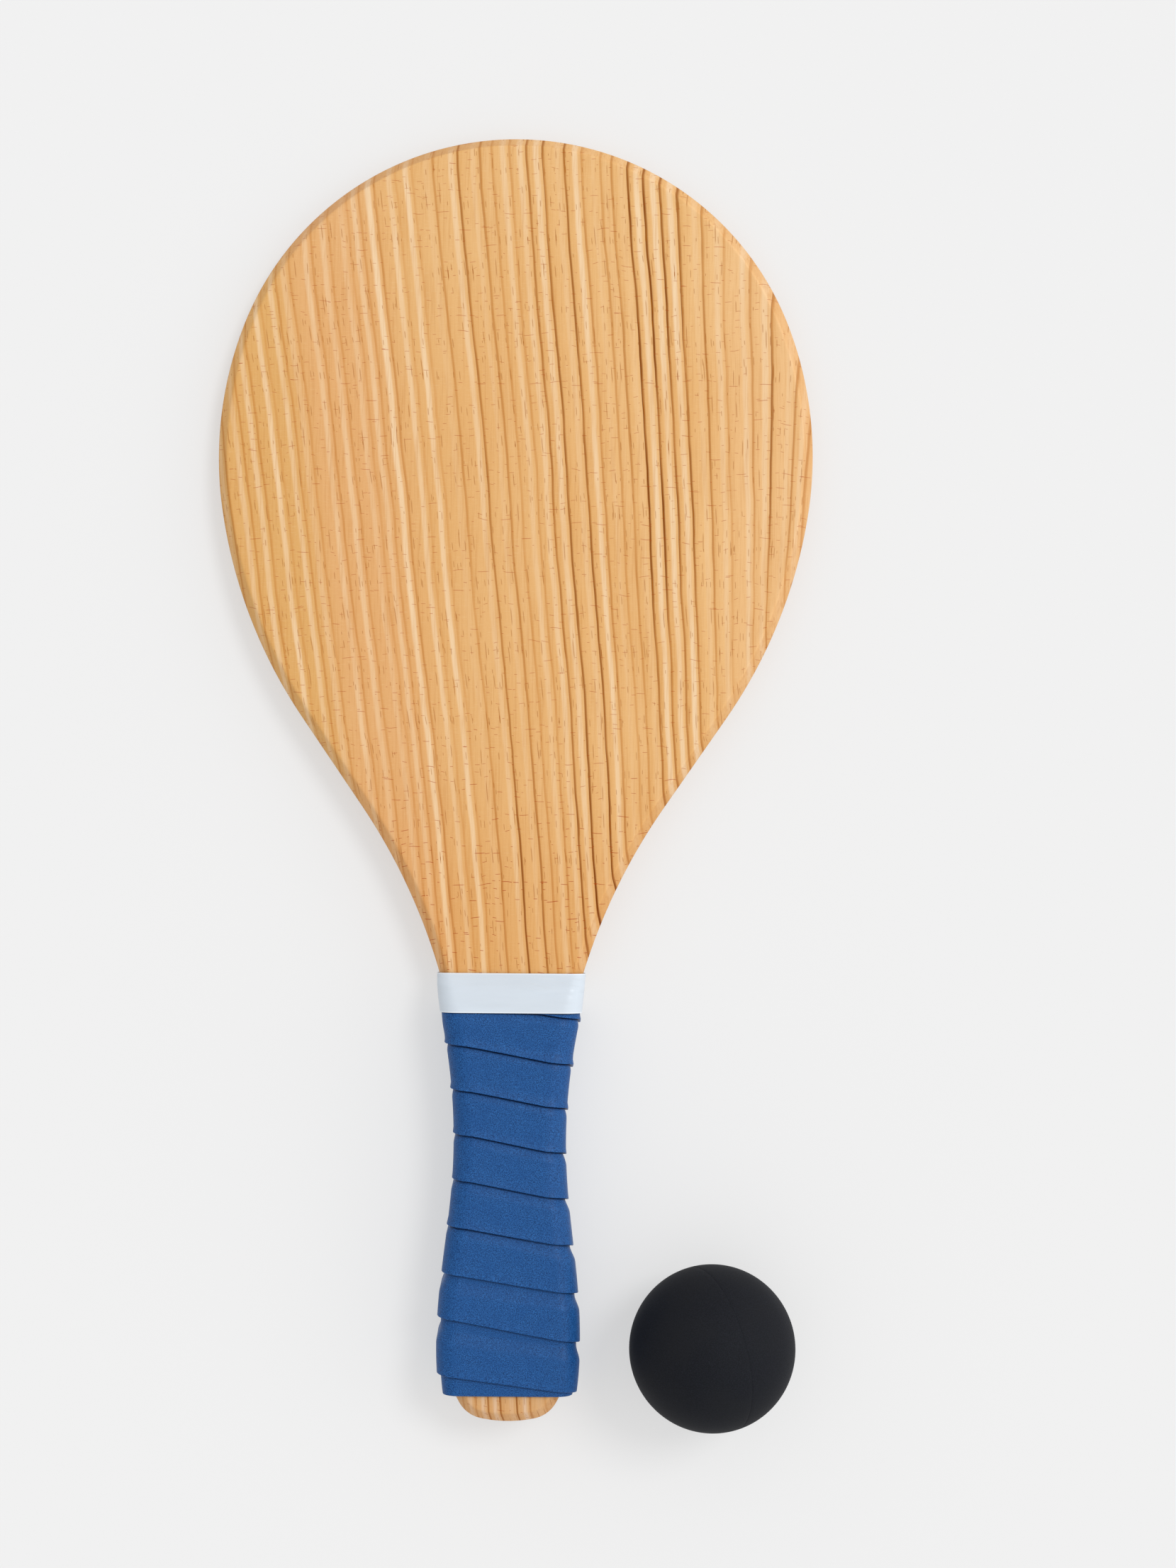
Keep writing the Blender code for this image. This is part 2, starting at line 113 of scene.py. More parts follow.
# How much more each turn climbs over the front than over the back
FRONT_RISES = (-0.3 * MM, 2.4 * MM, 0.9 * MM, 0.8 * MM, 0.8 * MM, 0.9 * MM, 1.0 * MM, 1.8 * MM)
# The strip's end climbs this much more. The climb starts so many turns before the last turn is
# full and takes so many turns
LAST_RISE = 1.0 * MM
LAST_RISE_LEAD = 0.55
LAST_RISE_TURNS = 0.5
# Shares of a turn after which the tape climbs onto its own start, and over which it does
OVERLAP_START = 0.92
OVERLAP_RAMP = 0.08

# The ball's moulding seam: a groove square to this direction
SEAM_WIDTH = 0.8 * MM
SEAM_DEPTH = 0.12 * MM
SEAM_NORMAL = Vector((0.90, 0.19, -0.395))

# Steps of the curves, finer than the model's
CROWN_STEPS = 72
SIDE_STEPS = 24
SHOULDER_STEPS = 20
THROAT_STEPS = 36
HANDLE_STEPS = 30
BUTT_END_STEPS = 8
BUTT_CORNER_STEPS = 14
BUTT_HIP_STEPS = 14
GRIP_CORNER_STEPS = 10
GRIP_FACE_STEPS = 14
GRIP_SIDE_STEPS = 6
STRIP_ROWS = 14
BRIDGE_ROWS = 8
TAPE_ROWS = 26
TAPE_BRIDGE_STEPS = 5
BALL_RINGS = 72
BALL_STEPS = 144
EASE_STEPS = 4
TURNS_STEP = 0.01
# Shares of the foam's edge radius and of the groove's half width that have a row of points
EDGE_ROWS = (0.1, 0.3, 0.6, 1.0)
GROOVE_ROWS = (0.66, 0.33, 0.0, -0.33, -0.66)
LEAST_ROW_GAP = 0.02 * MM

# Small forms that only the looks have. The free lower edge of each turn stands off a little
EASING = 0.62 * MM
GLUE_GAP = 0.04 * MM
FOAM_EDGE_RADIUS = 0.35 * MM
LIP_LENGTH = 2.2 * MM
LIP_HOLLOW = 0.55 * MM
LIP_LIFT = 0.3 * MM

# Edges that bend more than this stay sharp
WOOD_CREASE = math.radians(40)
WRAP_CREASE = math.radians(50)
BALL_CREASE = math.radians(70)

# Tolerances
ON_AXIS = 1e-9
CHEEK_END_MARGIN = 0.1 * MM
LEAST_CHEEK_STEP = 0.05 * MM

TAPE_TOP = TAPE_BOTTOM + TAPE_WIDTH
FOAM_TOP = TAPE_TOP - TAPE_ON_WOOD
CHEEK_TOP = TAPE_TOP - CHEEK_BELOW_TAPE_TOP
ONE_BODY = "root"


def smooth_step(share):
    """0 to 1 with level ends."""
    share = min(1.0, max(0.0, share))
    return share * share * (3 - 2 * share)


# Outline of the board


def arc(centre, radius, start, end, steps):
    """Points of an arc after its first one, and their outward directions."""
    points = []
    for i in range(1, steps + 1):
        angle = start + (end - start) * i / steps
        way = Vector((math.cos(angle), math.sin(angle)))
        points.append((centre + way * radius, way))
    return points


def half_outline():
    """The board's right-hand edge from the butt end to the tip, as (point, outward direction)."""
    quarter = math.pi / 2
    edge = [(Vector((0.0, 0.0)), Vector((0.0, -1.0)))]

    end_centre = Vector((0.0, BUTT_END_RADIUS))
    edge += arc(end_centre, BUTT_END_RADIUS, -quarter, BUTT_END_TURN - quarter, BUTT_END_STEPS)
    point, way = edge[-1]
    edge += arc(
        point - way * BUTT_CORNER_RADIUS,
        BUTT_CORNER_RADIUS,
        BUTT_END_TURN - quarter,
        BUTT_CORNER_TURN - quarter,
        BUTT_CORNER_STEPS,
    )
    point, way = edge[-1]
    hip_radius = (BUTT_WIDTH / 2 - point.x) / (1 - math.sin(BUTT_CORNER_TURN))
    edge += arc(point - way * hip_radius, hip_radius, BUTT_CORNER_TURN - quarter, 0.0, BUTT_HIP_STEPS)

    hip = edge[-1][0].copy()
    rise = WAIST_FROM_BUTT - hip.y
    drop = (BUTT_WIDTH - WAIST_WIDTH) / 2
    for i in range(1, HANDLE_STEPS + 1):
        share = i / HANDLE_STEPS
        x = hip.x - drop * (1 - math.cos(math.pi * share)) / 2
        slope = -drop * math.pi * math.sin(math.pi * share) / (2 * rise)
        edge.append((Vector((x, hip.y + rise * share)), Vector((1.0, -slope)).normalized()))

    waist = edge[-1][0]
    throat_centre = waist + Vector((THROAT_RADIUS, 0.0))
    edge += arc(throat_centre, -THROAT_RADIUS, 0.0, -FLANK_ANGLE, THROAT_STEPS)

    side_end = quarter - CROWN_TURN
    crown_reach = CROWN_RADIUS * math.sin(CROWN_TURN)
    side_radius = (HEAD_WIDTH / 2 - crown_reach) / (1 - math.sin(CROWN_TURN))
    shoulder_x = HEAD_WIDTH / 2 - side_radius * (1 - math.cos(SHOULDER_TURN))
    shoulder_x -= SHOULDER_RADIUS * (math.cos(SHOULDER_TURN) - math.cos(FLANK_ANGLE))
    point, way = edge[-1]
    climb = (shoulder_x - point.x) / math.tan(FLANK_ANGLE)
    point = Vector((shoulder_x, point.y + climb))
    edge.append((point, way.copy()))
    edge += arc(
        point - way * SHOULDER_RADIUS,
        SHOULDER_RADIUS,
        -FLANK_ANGLE,
        -SHOULDER_TURN,
        SHOULDER_STEPS,
    )
    point, way = edge[-1]
    edge += arc(point - way * side_radius, side_radius, -SHOULDER_TURN, side_end, SIDE_STEPS)
    point, way = edge[-1]
    edge += arc(point - way * CROWN_RADIUS, CROWN_RADIUS, side_end, quarter, CROWN_STEPS)
    edge[-1][0].x = 0.0
    return edge


EDGE = half_outline()
PADDLE_LENGTH = EDGE[-1][0].y
HIP_FROM_BUTT = max((point.x, point.y) for point, _ in EDGE if point.y < WAIST_FROM_BUTT)[1]


def half_width(y):
    """Half the board's width at this height, read from its outline."""
    for (low, _), (high, _) in zip(EDGE, EDGE[1:]):
        if low.y <= y <= high.y:
            return low.x + (high.x - low.x) * (y - low.y) / (high.y - low.y)
    return 0.0


def cheek_height(y):
    """How far a cheek stands over the board's face: full on the handle, bevelled off at its top."""
    if y > CHEEK_TOP + CHEEK_END_MARGIN:
        return 0.0
    share = max(0.0, min(1.0, (CHEEK_TOP - y) / CHEEK_RAMP))
    return CHEEK_NOSE + (CHEEK_THICKNESS - CHEEK_NOSE) * share


# Lying pose and finished pieces


def lying_pose():
    """From the paddle's own axes to the model's, read from the mount on the blade's face."""
    mount = next(m for m in frame["record"]["mounts"] if m["name"] == "blade_front_face")
    normal = Vector(mount["axis"])
    back = -PADDLE_LENGTH / 2
    rise = (normal.dot(Vector(mount["pos_m"])) - BOARD_HALF - back * normal.y) / normal.z
    turn = Matrix.Rotation(-math.atan2(normal.y, normal.z), 4, "X")
    return Matrix.Translation((0.0, back, rise)) @ turn


LYING = lying_pose()


def finished(name, bm, finish, crease, pose=LYING):
    """An object from a bmesh put in its pose, shaded smooth up to an angle."""
    bmesh.ops.transform(bm, matrix=pose, verts=bm.verts)
    bmesh.ops.recalc_face_normals(bm, faces=bm.faces)
    if bm.calc_volume(signed=True) < 0:
        bmesh.ops.reverse_faces(bm, faces=bm.faces)
    mesh = bpy.data.meshes.new(name)
    bm.to_mesh(mesh)
    bm.free()
    mesh.shade_smooth()
    mesh.set_sharp_from_angle(angle=crease)
    mesh.materials.append(finish)
    made = bpy.data.objects.new(name, mesh)
    bpy.context.scene.collection.objects.link(made)
    return made


def in_place(piece, node):
    """The piece takes the place of this node of the model and moves with its one body."""
    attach(piece, ONE_BODY)
    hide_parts(node)


# Wood


def eased_corner():
    """(inset, depth) pairs of an eased chamfer, from the wall to the face."""
    reach = EASING / EDGE_CHAMFER
    diagonal = reach / math.sqrt(2)
    bends = (
        ((0.0, 1 + reach), (0.0, 1.0), (diagonal, 1 - diagonal)),
        ((1 - diagonal, diagonal), (1.0, 0.0), (1 + reach, 0.0)),
    )
    pairs = []
    for start, corner, end in bends:
        for i in range(EASE_STEPS + 1):
            t = i / EASE_STEPS
            a, b, c = (1 - t) ** 2, 2 * t * (1 - t), t * t
            pairs.append(tuple(a * s + b * m + c * e for s, m, e in zip(start, corner, end)))
    pairs.append((1 + 2 * reach, 0.0))
    return pairs


def plate(name, edge, levels, finish):
    """A flat wooden piece: its outline at several levels, joined by walls and closed by two caps."""
    bm = bmesh.new()
    rings = []
    for level in levels:
        right, left = [], []
        for point, way in edge:
            inset, z = level(point, way)
            at = point - way * inset
            on_axis = point.x < ON_AXIS
            right.append(bm.verts.new((0.0 if on_axis else at.x, at.y, z)))
            left.append(right[-1] if on_axis else bm.verts.new((-at.x, at.y, z)))
        rings.append((right, left))
    last = len(edge) - 1
    for (low_right, low_left), (high_right, high_left) in zip(rings, rings[1:]):
        for i in range(last):
            bm.faces.new((low_right[i], low_right[i + 1], high_right[i + 1], high_right[i]))
            bm.faces.new((low_left[i + 1], low_left[i], high_left[i], high_left[i + 1]))
        if low_right[last] is not low_left[last]:
            bm.faces.new((low_right[last], low_left[last], high_left[last], high_right[last]))
    for right, left in (rings[0], rings[-1]):
        for i in range(last):
            corners = (right[i], right[i + 1], left[i + 1], left[i])
            bm.faces.new(dict.fromkeys(corners))
    return finished(name, bm, finish, WOOD_CREASE)


def board_chamfer(y):
    """The board's own share of the chamfer: all of it on the blade, an arris under the cheeks."""
    return max(ARRIS, EDGE_CHAMFER - cheek_height(y))


def make_board(finish):
    """The board, as slim as its solid, with the chamfer all round on both faces."""

    def level(inset, depth, side):
        return lambda point, way: (
            board_chamfer(point.y) * inset,
            side * (BOARD_HALF - board_chamfer(point.y) * depth),
        )

    front = [level(inset, depth, 1) for inset, depth in eased_corner()]
    back = [level(inset, depth, -1) for inset, depth in eased_corner()]
    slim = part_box("paddle_board")[1].x / (HEAD_WIDTH / 2)
    edge = [(Vector((point.x * slim, point.y)), way) for point, way in EDGE]
    return plate("blade_board", edge, back[::-1] + front, finish)


def make_cheek(name, side, finish):
    """A handle cheek, glued to one face of the board and chamfered with it."""
    seat = BOARD_HALF + GLUE_GAP

    def cut_at(y, z):
        return max(0.0, z - (BOARD_HALF + cheek_height(y) - EDGE_CHAMFER))

    def seat_level(point, way):
        return cut_at(point.y, seat), side * seat

    def corner_level(inset, depth):
        def level(point, way):
            height = cheek_height(point.y)
            z = max(seat + LEAST_CHEEK_STEP, BOARD_HALF + height - EDGE_CHAMFER * depth)
            return max(cut_at(point.y, seat), EDGE_CHAMFER * inset), side * z

        return level

    edge = []
    for point, way in EDGE:
        if point.y < CHEEK_TOP + CHEEK_END_MARGIN:
            edge.append((point, way if point.y < WAIST_FROM_BUTT else Vector((1.0, 0.0))))
    levels = [seat_level] + [corner_level(inset, depth) for inset, depth in eased_corner()]
    return plate(name, edge, levels, finish)


# Wound grip


def grip_half_depth(y):
    """Half the wood's depth at this height, with both cheeks."""
    return BOARD_HALF + cheek_height(y)


def grip_corner(y):
    """Corner radius of the smooth section that clears the wood's chamfered corners."""
    return min(GRIP_CORNER_RADIUS, GRIP_CORNER_LIMIT * grip_half_depth(y))


def grip_half_width(y):
    """The wood's half width, but straighter over the rounding of the butt, which foam bridges."""
    wood = half_width(y)
    if y > HIP_FROM_BUTT:
        return wood
    return BUTT_WIDTH / 2 - (BUTT_WIDTH / 2 - wood) * BUTT_HUG


def grip_stations():
    """Places round the handle, as (corner signs, direction, share of the way round)."""
    radius = grip_corner(WAIST_FROM_BUTT)
    side = 2 * (BOARD_HALF + CHEEK_THICKNESS - radius)
    face = 2 * ((WAIST_WIDTH + BUTT_WIDTH) / 4 - radius)
    bend = radius * math.pi / 2
    round_length = 2 * side + 2 * face + 4 * bend
    stations = []
    for i in range(GRIP_SIDE_STEPS // 2):
        share = side * i / GRIP_SIDE_STEPS / round_length
        stations.append(((1, 2 * i / GRIP_SIDE_STEPS), 0.0, share))
    gone = side / 2
    for number, (sign_x, sign_z) in enumerate(((1, 1), (-1, 1), (-1, -1), (1, -1))):
        for i in range(GRIP_CORNER_STEPS + 1):
            angle = math.pi / 2 * (number + i / GRIP_CORNER_STEPS)
            share = (gone + bend * i / GRIP_CORNER_STEPS) / round_length
            stations.append(((sign_x, sign_z), angle, share))
        gone += bend
        on_face = number % 2 == 0
        flat, steps = (face, GRIP_FACE_STEPS) if on_face else (side, GRIP_SIDE_STEPS)
        after = math.pi / 2 * (number + 1)
        if number == 3:
            flat, steps = side / 2, GRIP_SIDE_STEPS // 2
        for i in range(1, steps):
            share = (gone + flat * i / steps) / round_length
            if on_face:
                stations.append(((sign_x * (1 - 2 * i / steps), sign_z), after, share))
            elif number == 3:
                stations.append(((sign_x, sign_z * (1 - i / steps)), after, share))
            else:
                stations.append(((sign_x, sign_z * (1 - 2 * i / steps)), after, share))
        gone += flat
    return stations


STATIONS = grip_stations()


def squeeze(y):
    """Share of its full height that foam keeps. The tape presses the strip's upper end flat."""
    share = (y - TAPE_BOTTOM + PINCH_LENGTH) / (FOAM_TOP - TAPE_BOTTOM + PINCH_LENGTH)
    return 1 - TOP_SQUEEZE * min(1.0, max(0.0, share))


def grip_point(station, y, foam=0.0, lift=0.0):
    """The point over a station at this y, over so much foam and then lifted further."""
    (across, up), angle, _ = station
    radius = grip_corner(y)
    reach = radius + SEAT_GAP + foam * squeeze(y) + lift
    return Vector(
        (
            across * (grip_half_width(y) - radius) + reach * math.cos(angle),
            y,
            up * (grip_half_depth(y) - radius) + reach * math.sin(angle),
        )
    )


def lower_edge(turns):
    """Height of the strip's lower edge after so many turns."""
    number = min(max(math.floor(turns), 0), len(FRONT_RISES) - 1)
    rise = FRONT_RISES[number] * (1 - math.cos(2 * math.pi * turns)) / 2
    last = turns - len(FRONT_RISES) + LAST_RISE_LEAD
    rise += LAST_RISE * smooth_step(last / LAST_RISE_TURNS)
    return WRAP_BOTTOM + FIRST_PITCH * turns - PITCH_LOSS * turns * abs(turns) / 2 + rise


def foam_top(station):
    """The strip is trimmed along a slightly slanting line, hidden by the tape."""
    (across, _), angle, _ = station
    side = across * (WAIST_WIDTH / 2 - grip_corner(0)) + grip_corner(0) * math.cos(angle)
    return FOAM_TOP + TOP_SLOPE * side


def strip_top(turns, station):
    """Height of the strip's upper edge over a station, at most the line that it is trimmed to."""
    return min(lower_edge(turns) + STRIP_WIDTH, foam_top(station))


def strip_end():
    """Turns after which the strip is cut off, where little of its width is left below the trim."""
    turns = 0.0
    while lower_edge(turns) < FOAM_TOP - STRIP_TAIL:
        turns += TURNS_STEP
    return turns


STRIP_END = strip_end()


def strip_lift(turns, station, y):
    """How far the strip's inner face is lifted off the wood by the turns that it lies on."""
    under = turns - 1
    ramp_turns = BRIDGED_LENGTH / (2 * (WAIST_WIDTH + 2 * BOARD_HALF))
    if under < -1 - ramp_turns:
        return 0.0
    on_start = smooth_step((under + 1 + ramp_turns) / ramp_turns)
    top = strip_top(max(under, -1.0), station)
    fall = 1 - smooth_step((y - top) / BRIDGED_LENGTH)
    carried = strip_lift(under, station, min(y, top)) + STRIP_THICKNESS + LAYER_GAP
    return on_start * fall * carried


def spread(values, low, high, least):
    """The values in order between low and high, kept apart by at least this much."""
    kept = [low]
    for value in values:
        kept.append(max(value, kept[-1] + least))
    kept.append(high)
    for i in range(len(kept) - 2, 0, -1):
        kept[i] = min(kept[i], kept[i + 1] - least)
    return kept


def wound_strip(name, sections, finish):
    """A strip from its sections, each a closed list of points, joined end to end and capped."""
    bm = bmesh.new()
    rings = [[bm.verts.new(point) for point in section] for section in sections]
    for low, high in zip(rings, rings[1:]):
        for i in range(len(low)):
            j = (i + 1) % len(low)
            bm.faces.new((low[i], low[j], high[j], high[i]))
    for ring in (rings[0], rings[-1]):
        count = len(ring)
        for i in range(count // 2 - 1):
            bm.faces.new((ring[i], ring[i + 1], ring[count - 2 - i], ring[count - 1 - i]))
    return finished(name, bm, finish, WRAP_CREASE)


def winding(first, last):
    """(turns, station) for each place where a winding from first to last turns passes a station."""
    places = []
    for turn in range(math.floor(first), math.ceil(last) + 1):
        for station in STATIONS:
            turns = turn + station[2]
            if first <= turns <= last:
                places.append((turns, station))
    return places


def lip_share(low, y, station):
    """1 at a turn's free lower edge on the front, and 0 where the strip lies down again."""
    if low <= WRAP_BOTTOM + LIP_LENGTH:
        return 0.0
    near = max(0.0, 1 - (y - low) / LIP_LENGTH) ** 2
    return near * max(0.0, math.sin(station[1]))


def make_foam(finish):
    """The foam strip. Its first turn is trimmed level at the butt, and its last under the tape."""
    sections = []
    for turns, station in winding(-1.0, STRIP_END):
        low = max(lower_edge(turns), WRAP_BOTTOM)
        top = strip_top(turns, station)
        under = strip_top(turns - 1, station)
        rows = [low + FOAM_EDGE_RADIUS * share for share in EDGE_ROWS]
        rows += [low + (top - low) * i / STRIP_ROWS for i in range(1, STRIP_ROWS)]
        rows += [under + BRIDGED_LENGTH * i / BRIDGE_ROWS for i in range(BRIDGE_ROWS + 1)]
        rows += [CHEEK_TOP - CHEEK_RAMP]
        heights = spread(sorted(rows), low, top, LEAST_ROW_GAP)
        inner, outer = [], []
        for y in heights:
            lift = strip_lift(turns, station, y)
            off = min(1.0, (y - low) / FOAM_EDGE_RADIUS)
            ease = FOAM_EDGE_RADIUS * (1 - math.sqrt(1 - (1 - off) ** 2))
            lip = lip_share(low, y, station)
            inner.append(grip_point(station, y, lift, lip * LIP_HOLLOW))
            outer.append(grip_point(station, y, lift + STRIP_THICKNESS, lip * LIP_LIFT - ease))
        sections.append(inner + outer[::-1])
    return wound_strip("foam_strip", sections, finish)


def foam_height(station, y):
    """Unsqueezed height of the wound foam over the wood at a place, and 0 above its trim."""
    if y > foam_top(station):
        return 0.0
    turns = math.floor(STRIP_END - station[2]) + station[2]
    while lower_edge(turns) > y and turns > 0:
        turns -= 1
    return strip_lift(turns, station, y) + STRIP_THICKNESS


def widened(values, reach):
    """Each value of a ring raised to its neighbours', then eased between them."""
    count = len(values)
    near = range(-reach, reach + 1)
    raised = [max(values[(i + j) % count] for j in near) for i in range(count)]
    return [sum(raised[(i + j) % count] for j in near) / len(near) for i in range(count)]


def outwardness(station, y, foam=0.0):
    """How far out the point over a station lies, along the station's own direction."""
    point = grip_point(station, y, foam)
    return point.x * math.cos(station[1]) + point.z * math.sin(station[1])


def taut(values):
    """Values at even steps, raised to the straight spans that bridge each hollow in them."""
    count = len(values)
    raised = list(values)
    for first in range(count):
        for last in range(first + 2, count):
            for i in range(first + 1, last):
                share = (i - first) / (last - first)
                span = values[first] * (1 - share) + values[last] * share
                raised[i] = max(raised[i], span)
    return raised


def make_tape(finish):
    """A band of tape, once round and a little over, drawn tight over the end of the foam."""
    step = TAPE_WIDTH / TAPE_ROWS
    heights = [TAPE_TOP - step * i for i in range(TAPE_ROWS + 1)]
    rows = []
    for y in heights:
        levels = (y - step / 2, y, y + step / 2)
        foam = [max(foam_height(place, level) for level in levels) for place in STATIONS]
        rows.append(widened(foam, TAPE_BRIDGE_STEPS))

    sections = []
    for turns, station in winding(TAPE_START, TAPE_START + TAPE_TURNS):
        second = smooth_step((turns - TAPE_START - OVERLAP_START) / OVERLAP_RAMP)
        lift = SEAT_GAP + second * (TAPE_THICKNESS + LAYER_GAP)
        foam = [row[STATIONS.index(station)] for row in rows]
        spans = taut([outwardness(station, y, f) for y, f in zip(heights, foam)])
        lifts = [lift + span - outwardness(station, y) for y, span in zip(heights, spans)]
        inner = [grip_point(station, y, 0.0, far) for y, far in zip(heights, lifts)]
        outer = [
            grip_point(station, y, 0.0, far + TAPE_THICKNESS) for y, far in zip(heights, lifts)
        ]
        sections.append(inner + outer[::-1])
    return wound_strip("tape_band", sections, finish)


def turned_body(profile, steps):
    """A closed body turned round z from (radius, height) points, its two ends on the axis."""
    bm = bmesh.new()
    turns = [2 * math.pi * i / steps for i in range(steps)]
    rings = []
    for reach, z in profile[1:-1]:
        points = [(reach * math.cos(turn), reach * math.sin(turn), z) for turn in turns]
        rings.append([bm.verts.new(point) for point in points])
    top, bottom = (bm.verts.new((0.0, 0.0, profile[end][1])) for end in (0, -1))
    rings = [[top] * steps] + rings + [[bottom] * steps]
    for upper, lower in zip(rings, rings[1:]):
        for i in range(steps):
            j = (i + 1) % steps
            bm.faces.new(dict.fromkeys((upper[i], upper[j], lower[j], lower[i])))
    return bm


def make_ball(finish):
    """A moulded rubber ball, turned about the axis of its seam, which is a fine groove."""
    low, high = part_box("ball")
    radius = min(high - low) / 2
    groove = math.asin(SEAM_WIDTH / 2 / radius)
    quarter = math.pi / 2
    steps = BALL_RINGS // 2
    upper = [quarter - (quarter - groove) * i / steps for i in range(steps + 1)]
    middle = [groove * share for share in GROOVE_ROWS]
    profile = []
    for angle in upper + middle + [-angle for angle in reversed(upper)]:
        reach = radius - SEAM_DEPTH * (1 - smooth_step(abs(angle) / groove))
        profile.append((reach * math.cos(angle), reach * math.sin(angle)))
    lean = SEAM_NORMAL.to_track_quat("Z", "Y").to_matrix().to_4x4()
    pose = Matrix.Translation((low + high) / 2) @ lean
    return finished("rubber_ball", turned_body(profile, BALL_STEPS), finish, BALL_CREASE, pose)


# Colours

# Light on a surface that faces up, and the share of it that a satin surface mirrors
FULL_LIGHT = 1.045
GLOSS_SHARE = 0.02


def srgb(red, green, blue):
    """A colour as seen on screen, made linear."""

    def linear(value):
        value /= 255
        return value / 12.92 if value <= 0.04045 else ((value + 0.055) / 1.055) ** 2.4

    return (linear(red), linear(green), linear(blue), 1.0)


def shown(red, green, blue):
    """The surface colour that looks like this on screen, lit from above by this scene's light."""
    lit = srgb(red, green, blue)[:3]
    return (*(max(0.0, (value - GLOSS_SHARE) / FULL_LIGHT) for value in lit), 1.0)


WHITE = (1.0, 1.0, 1.0, 1.0)

# Pine as it looks on screen
PINE_LEFT = shown(228, 177, 116)
PINE_RIGHT = shown(237, 188, 127)
PINE_CLOUD = shown(228, 174, 110)
PINE_PINK = shown(229, 168, 118)
PINE_YELLOW = shown(222, 171, 102)
PINE_CREAM = shown(242, 196, 144)
LATE_WOOD = shown(219, 160, 88)
EARLY_WOOD = shown(243, 210, 168)
FAINT_LINE = shown(202, 126, 52)
DARK_LINE = shown(128, 70, 20)
FIBRE = shown(200, 136, 70)
SILK = shown(244, 208, 158)
HAIR = shown(196, 130, 66)
RESIN = shown(172, 104, 44)
FLECK = shown(176, 78, 24)
# Deeper stain of end grain, and painted shade on walls and chamfers
STAIN_AND_SHADE = shown(170, 112, 70)
# The wood's colour is multiplied by these
THROAT_TINT = (0.96, 0.885, 0.775, 1.0)
CROWN_TINT = (1.02, 1.05, 1.09, 1.0)
BUTT_TINT = (0.91, 0.95, 1.16, 1.0)

# Surface colours of the foam, the tape and the rubber
FOAM_DARK = srgb(4, 43, 90)
FOAM_LIGHT = srgb(44, 104, 172)
FOAM_CLOUD = srgb(16, 70, 130)
FOAM_PIT = srgb(78, 136, 200)
# Painted shade for the folds between the foam's turns
FOAM_PAINTED_SHADE = srgb(6, 22, 56)

TAPE_SHADE = srgb(199, 208, 217)
TAPE_LIGHT = srgb(209, 219, 229)
# Painted highlight along both edges of the tape
TAPE_EDGE_HIGHLIGHT = srgb(228, 233, 240)

RUBBER_DARK = srgb(16, 18, 23)
RUBBER_LIGHT = srgb(28, 30, 37)
RUBBER_DUST = srgb(30, 31, 34)


# Materials

# Sockets of the node that mixes two colours: share, first and second colour, and result
MIX_SHARE, MIX_FIRST, MIX_SECOND, MIX_RESULT = 0, 6, 7, 2

# Depth of each surface's finest relief
WOOD_RELIEF = 0.05 * MM
FOAM_RELIEF = 0.08 * MM
TAPE_RELIEF = 0.3 * MM
RUBBER_RELIEF = 0.05 * MM


